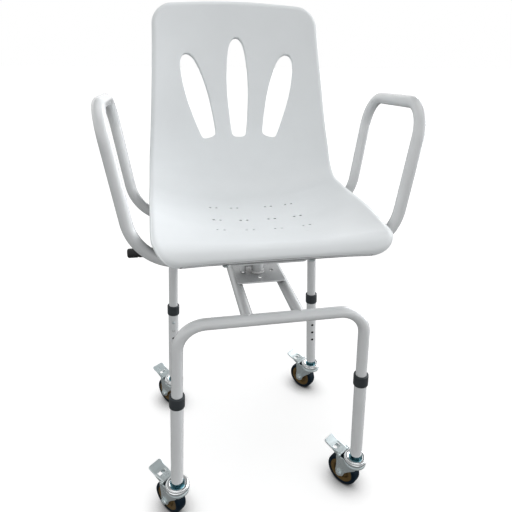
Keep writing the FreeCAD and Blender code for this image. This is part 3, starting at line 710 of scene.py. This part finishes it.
def finished(shape, thickness=0.0, edge=0.0, sharp=40.0):
    """Mesh with a sheet thickness and rounded edges worked in."""
    mesh = bpy.data.meshes.new("work")
    mesh.from_pydata([tuple(v * MM) for v in shape[0]], [], shape[1])
    obj = bpy.data.objects.new("work", mesh)
    bpy.context.scene.collection.objects.link(obj)
    if thickness:
        solid = obj.modifiers.new("thick", "SOLIDIFY")
        solid.thickness = thickness * MM
        solid.offset = 0.0
        solid.use_even_offset = True
    if edge:
        bevel = obj.modifiers.new("edge", "BEVEL")
        bevel.width = edge * MM
        bevel.segments = 2
        bevel.limit_method = "ANGLE"
        bevel.angle_limit = math.radians(sharp)
    graph = bpy.context.evaluated_depsgraph_get()
    made = bpy.data.meshes.new_from_object(obj.evaluated_get(graph))
    bpy.data.objects.remove(obj)
    work = bmesh.new()
    work.from_mesh(made)
    bmesh.ops.recalc_face_normals(work, faces=work.faces)
    verts = [v.co / MM for v in work.verts]
    faces = [tuple(v.index for v in f.verts) for f in work.faces]
    work.free()
    return verts, faces


def fork_shape():
    crown = revolved([(6.6, 77.5), (21.6, 77.5), (23.4, 77.1), (24.3, 75.8), (24.5, 74.0),
                      (24.3, 71.9), (23.5, 71.5), (22.9, 72.6), (22.3, 74.2), (21.2, 74.7),
                      (6.6, 74.7)])
    race = revolved([(6.6, 77.4), (22.6, 77.4), (22.6, 79.6), (21.8, 81.2), (20.6, 81.9),
                     (6.6, 81.9)])
    cheeks = [finished(cheek(side), CHEEK_T, 0.7) for side in (-1, 1)]
    lug = [(28.6, 74.0), (38.6, 74.0), (38.6, 79.5), (37.2, 81.8), (34.6, 82.6), (31.2, 82.6),
           (28.8, 81.6), (27.8, 79.4)]
    lugs = [finished(prism(lug, y, y + 3.0), 0.0, 0.6) for y in (-18.0, 15.0)]
    pin = moved(rod(2.5, -19.5, 19.5), Matrix.Translation((PEDAL_PIVOT[0], 0, PEDAL_PIVOT[1]))
                @ Matrix.Rotation(math.pi / 2, 4, "X"))
    return joined([crown, race, *cheeks, *lugs, finished(pin, 0.0, 0.5)])


def tyre_shape():
    half = [(28.52, 10.9), (29.2, 11.9), (31.0, 12.5), (33.2, 12.4), (35.1, 11.5), (36.5, 9.9),
            (37.2, 7.8), (37.47, 5.2), (37.5, 2.2)]
    verts, faces = revolved(half + [(r, -z) for r, z in reversed(half)], 96)
    return turned_to_axle(verts), faces


def core_shape():
    half = [(4.06, 14.1), (8.4, 14.1), (9.2, 13.7), (9.4, 12.7), (9.4, 6.4), (9.9, 5.6),
            (11.5, 5.2), (17.2, 4.3), (18.2, 4.9), (19.2, 9.4), (20.0, 10.7), (22.0, 11.1),
            (27.0, 11.2), (28.5, 10.8)]
    verts, faces = revolved(half + [(r, -z) for r, z in reversed(half)], 80)
    return turned_to_axle(verts), faces


def axle_shape():
    shank = rod(AXLE_R, -24.0, 24.0)
    heads = [finished(hex_prism(13.0, z, z + 5.0), 0.0, 0.7) for z in (-23.0, 18.0)]
    washers = [finished(rod(9.0, z, z + 1.0), 0.0, 0.3) for z in (-18.9, 17.9)]
    verts, faces = joined([finished(shank, 0.0, 0.8), *heads, *washers])
    return turned_to_axle(verts), faces


def ring_shape():
    return revolved([(13.5, 82.4), (24.8, 82.4), (25.4, 82.9), (25.4, 85.3), (25.1, 85.8),
                     (24.0, 86.0), (23.6, 86.3), (23.5, 88.6), (23.0, 89.7), (22.0, 90.6),
                     (20.6, 91.0), (18.6, 91.0), (16.6, 90.5), (15.0, 89.4), (14.0, 87.6),
                     (13.6, 85.2)], 96)


def stem_shape():
    race = revolved([(6.0, 82.4), (13.4, 82.4), (13.4, 84.4), (12.4, 85.2), (6.0, 85.2)])
    nut = finished(hex_prism(19.0, 85.0, 95.6), 0.0, 0.9)
    washer = finished(rod(11.6, 95.6, 98.9, 48), 0.0, 0.6)
    king = finished(hex_prism(13.0, 67.6, 73.8), 0.0, 0.7)
    return joined([race, nut, washer, finished(rod(6.0, 66.0, 124.0), 0.0, 0.8), king])


PEDAL_LINE = [(28.8, 80.9), (32, 81.2), (37, 81.7), (42, 82.2), (46.5, 82.7), (50.5, 83.1),
              (54.5, 83.6), (57.5, 84.2), (60, 85.0), (62.5, 86.1), (65, 87.4), (68, 88.9),
              (71, 90.3), (73.4, 91.4), (75.2, 92.2), (76.4, 92.7)]
PEDAL_HALF = [14.1, 14.1, 14.2, 14.8, 15.4, 15.7, 15.8, 15.8, 15.7, 15.9, 16.5, 16.8, 16.8,
              16.4, 15.4, 12.6]
PEDAL_ACROSS = [-1.0, -0.8, -0.585, -0.3, 0.0, 0.3, 0.585, 0.8, 1.0]


def pedal_shape():
    """Bent foot plate with a slot, folded cheeks and the brake shoe on its arm."""
    def place(i, j):
        x, z = PEDAL_LINE[i]
        return x, PEDAL_HALF[i] * PEDAL_ACROSS[j], z
    hole = [(i, j) for i in (4, 5) for j in (2, 3, 4, 5)]
    plate = finished(sheet_grid(place, range(16), range(9), hole), 2.2, 0.6, 60.0)
    folds = []
    for side in (-1, 1):
        def fold(i, depth, side=side):
            x, z = PEDAL_LINE[i]
            reach = 7.2 * (1 - smooth_step(38.0, 58.0, x)) + 0.6
            inward = 0.9 * (1 - depth) ** 2
            return x, side * (PEDAL_HALF[i] - 0.7 - inward), z + 0.6 - depth * reach
        folds.append(finished(sheet_grid(fold, range(8), [0.0, 0.3, 0.65, 1.0]), 1.7, 0.5))
    arm = [(43.6, 78.4), (44.0, 77.4), (57.0, 79.2), (56.6, 80.2)]
    shoe = [(41.2, 81.5), (43.6, 81.5), (44.8, 71.0), (43.4, 70.2), (41.8, 70.2), (41.0, 72.0)]
    dimples = [moved(rod(1.3, 81.6, 83.6, 20), Matrix.Translation((41.0, y, 0)))
               for y in (-2.6, 2.6)]
    extras = [finished(prism(arm, -10.0, -1.0), 0.0, 0.3),
              finished(prism(shoe, -9.0, 9.0), 0.0, 0.5),
              *[finished(dimple, 0.0, 0.5) for dimple in dimples]]
    return joined([plate, *folds, *extras])


def insert_shape(lean):
    """Sleeve that holds the stem in the leg tube; it leans with the leg."""
    tilt = Matrix.Rotation(-lean * math.atan(SPLAY), 4, "Y")
    tilt = Matrix.Translation((0, 0, LEG_FOOT)) @ tilt
    return moved(finished(rod(11.35, 0.3, 30.0, 40), 0.0, 0.5), tilt)


def place_piece(name, shape, key, look, body, old, turning=True):
    side_x, side_y, trail_angle = LEGS[key]
    foot = (side_x * (LEG_X + SPLAY * (BAR_Z - LEG_FOOT)), side_y * LEG_Y, 0)
    turn = Matrix.Rotation(math.radians(90.0 + trail_angle if turning else 0.0), 4, "Z")
    verts, faces = moved(shape, Matrix.Translation(foot) @ turn)
    obj = mesh_object(key + "_" + name, [at(*v) for v in verts], faces, look)
    obj.data.set_sharp_from_angle(angle=math.radians(38))
    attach(obj, key + "_" + body)
    if old:
        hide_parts(key + "_" + old)


def make_casters():
    turning = [("fork_skin", fork_shape(), ZINC, "zinc", "fork", "caster_fork"),
               ("tyre_skin", tyre_shape(), TREAD, "tread", "wheel", "tyre"),
               ("core_skin", core_shape(), CORE, "core_plastic", "wheel", "wheel_core"),
               ("axle_skin", axle_shape(), ZINC, "zinc", "fork", "axle"),
               ("pedal_skin", pedal_shape(), ZINC, "zinc", "pedal", "brake_pedal")]
    ring, stem = ring_shape(), stem_shape()
    for key, (side_x, _, _) in LEGS.items():
        for name, shape, look, slot_name, body, old in turning:
            place_piece(name, shape, key, look, body, old)
        place_piece("ring_skin", ring, key, CHROME, "leg", "caster_head", False)
        place_piece("stem_skin", stem, key, BLUE_ZINC, "leg", None, False)
        place_piece("insert_skin", insert_shape(side_x), key, BLUE_ZINC, "leg", None,
                    False)


# ---------------------------------------------------------------- welds
RAIL_X, TUBE_R, HUB_R, HUB_WELD_Z = 48.7, 11.1, 12.7, 560.0
BEAD_SIDES = 8


def weld_bead(name, path, radius, body):
    """Rippled bead along a closed row of points in millimetres from the swivel axis."""
    count = len(path)
    rings = []
    for k, p in enumerate(path):
        ahead = (path[(k + 1) % count] - path[k - 1]).normalized()
        side = ahead.orthogonal().normalized()
        up = ahead.cross(side)
        r = radius * (1 + 0.16 * math.sin(k * 1.9) + 0.06 * math.sin(k * 0.7))
        rings.append([at(*(p + (side * math.cos(a) + up * math.sin(a)) * r))
                      for a in (math.tau * j / BEAD_SIDES for j in range(BEAD_SIDES))])
    verts = [v for ring in rings for v in ring]
    faces = []
    for k in range(count):
        a, b = k * BEAD_SIDES, ((k + 1) % count) * BEAD_SIDES
        start = min(range(BEAD_SIDES), key=lambda j: (verts[b + j] - verts[a]).length)
        for j in range(BEAD_SIDES):
            here, there = b + (start + j) % BEAD_SIDES, b + (start + j + 1) % BEAD_SIDES
            faces.append((a + j, a + (j + 1) % BEAD_SIDES, there, here))
    obj = mesh_object(name, verts, faces, PAINT)
    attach(obj, body)


def make_welds():
    angles = [math.tau * k / 72 for k in range(72)]
    for side, label in ((-1, "left"), (1, "right")):
        for end, word in ((-1, "front"), (1, "rear")):
            path = [Vector((side * RAIL_X + TUBE_R * math.cos(a),
                            end * (LEG_Y - TUBE_R * abs(math.cos(a))),
                            BAR_Z + TUBE_R * math.sin(a))) for a in angles]
            weld_bead("weld_%s_%s" % (word, label), path, 1.3, "base_frame")
    hub = [Vector((HUB_R * math.cos(a), HUB_R * math.sin(a), HUB_WELD_Z)) for a in angles]
    weld_bead("weld_hub", hub, 1.4, "seat_unit")


# ---------------------------------------------------------------- stage, light, camera
FLOOR_HALF = 40.0


def make_floor():
    """Pale matt floor with a painted contact shadow: its colour and glow turn darker close to
    what stands on it.
    """
    signs = [(-1, -1), (1, -1), (1, 1), (-1, 1)]
    verts = [(x * FLOOR_HALF, y * FLOOR_HALF, 0) for x, y in signs]
    mesh = bpy.data.meshes.new("floor")
    mesh.from_pydata(verts, [], [(0, 1, 2, 3)])
    obj = bpy.data.objects.new("floor", mesh)
    bpy.context.scene.collection.objects.link(obj)
    look = mottled("floor_look", [(0.3, grey(0.82)), (0.7, grey(0.84))], (0.75, 0.85), 1.5,
                   [(80.0, 0.0003, 0.03)], fine=40.0, Specular_IOR_Level=0.1,
                   Emission_Strength=0.58)
    tree = look.node_tree
    shader = tree.nodes["Principled BSDF"]
    plain = shader.inputs["Base Color"].links[0].from_socket
    # painted contact shadow in the floor's colour and glow
    shaded = painted_crevice_shade(tree, plain, 0.05, 0.3, 0.97)
    tree.links.new(shaded, shader.inputs["Base Color"])
    tree.links.new(shaded, shader.inputs["Emission Color"])
    obj.data.materials.append(look)
    obj.visible_diffuse = False
    obj.visible_glossy = False
    return obj


def sun(name, direction, strength, spread_degrees, colour=(1.0, 1.0, 1.0)):
    """Soft light from a direction, equally strong everywhere."""
    data = bpy.data.lights.new(name, "SUN")
    data.energy = strength
    data.angle = math.radians(spread_degrees)
    data.color = colour
    obj = bpy.data.objects.new(name, data)
    bpy.context.scene.collection.objects.link(obj)
    obj.rotation_euler = Vector(direction).to_track_quat("Z", "Y").to_euler()
    return obj


def keep_off(light, floor):
    """Lets a low light fall on the chair only, so that it draws no long shadows."""
    group = bpy.data.collections.new(light.name + "_left_out")
    group.objects.link(floor)
    light.light_linking.receiver_collection = group
    group.collection_objects[0].light_linking.link_state = "EXCLUDE"


# grey of the surroundings from straight down (0) through the horizon (0.5) to overhead (1)
WORLD_STOPS = [(0.0, grey(0.20)), (0.46, grey(0.20)), (0.484, grey(1.0)), (0.565, grey(1.0)),
               (0.61, grey(1.12)), (0.75, grey(1.12)), (0.8, grey(0.36)), (1.0, grey(0.36))]


def make_light(floor):
    """White near the horizon, dimmer overhead, with broad soft light from the right."""
    world = bpy.data.worlds.new("studio")
    bpy.context.scene.world = world
    world.use_nodes = True
    tree = world.node_tree
    place = tree.nodes.new("ShaderNodeTexCoord")
    split = tree.nodes.new("ShaderNodeSeparateXYZ")
    tree.links.new(place.outputs["Generated"], split.inputs["Vector"])
    height = spread(tree, split.outputs["Z"], 0.0, 1.0, (-1.0, 1.0))
    tree.links.new(ramp(tree, height, WORLD_STOPS), tree.nodes["Background"].inputs["Color"])
    sun("overhead", (-0.1, 0.0, 1.0), 0.55, 50.0)
    keep_off(sun("side", (0.9, -0.35, 0.3), 0.5, 60.0, (0.96, 0.97, 1.0)), floor)
    keep_off(sun("rim", (0.9, 0.45, 0.3), 3.0, 60.0, (0.97, 0.98, 1.0)), floor)


CAMERA_PLACE = (-0.1688, -0.9131, 0.9155)
YAW, PITCH, ROLL = math.radians(10.986), math.radians(-24.013), math.radians(0.754)
SENSOR_WIDTH, LENS = 36.0, 31.44


def make_camera():
    data = bpy.data.cameras.new("camera")
    data.sensor_width = SENSOR_WIDTH
    data.lens = LENS
    obj = bpy.data.objects.new("camera", data)
    bpy.context.scene.collection.objects.link(obj)
    ahead = Vector((math.sin(YAW) * math.cos(PITCH), math.cos(YAW) * math.cos(PITCH),
                    math.sin(PITCH)))
    level = Vector((math.cos(YAW), -math.sin(YAW), 0.0))
    up = level.cross(ahead)
    right = level * math.cos(ROLL) + up * math.sin(ROLL)
    up = up * math.cos(ROLL) - level * math.sin(ROLL)
    turn = Matrix((right, up, -ahead)).transposed()
    obj.matrix_world = Matrix.Translation(CAMERA_PLACE) @ turn.to_4x4()
    bpy.context.scene.camera = obj
    bpy.context.scene.view_settings.view_transform = "Standard"


# ---------------------------------------------------------------- build
dress_frame()
seat = make_seat()
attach(seat, "seat_unit")
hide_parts("seat_shell")
for boss_x in (-SCREW_X, SCREW_X):
    for boss_y in (ARM_FRONT_Y, ARM_REAR_Y):
        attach(make_boss(boss_x, boss_y), "seat_unit")
make_casters()
make_welds()
make_light(make_floor())
make_camera()
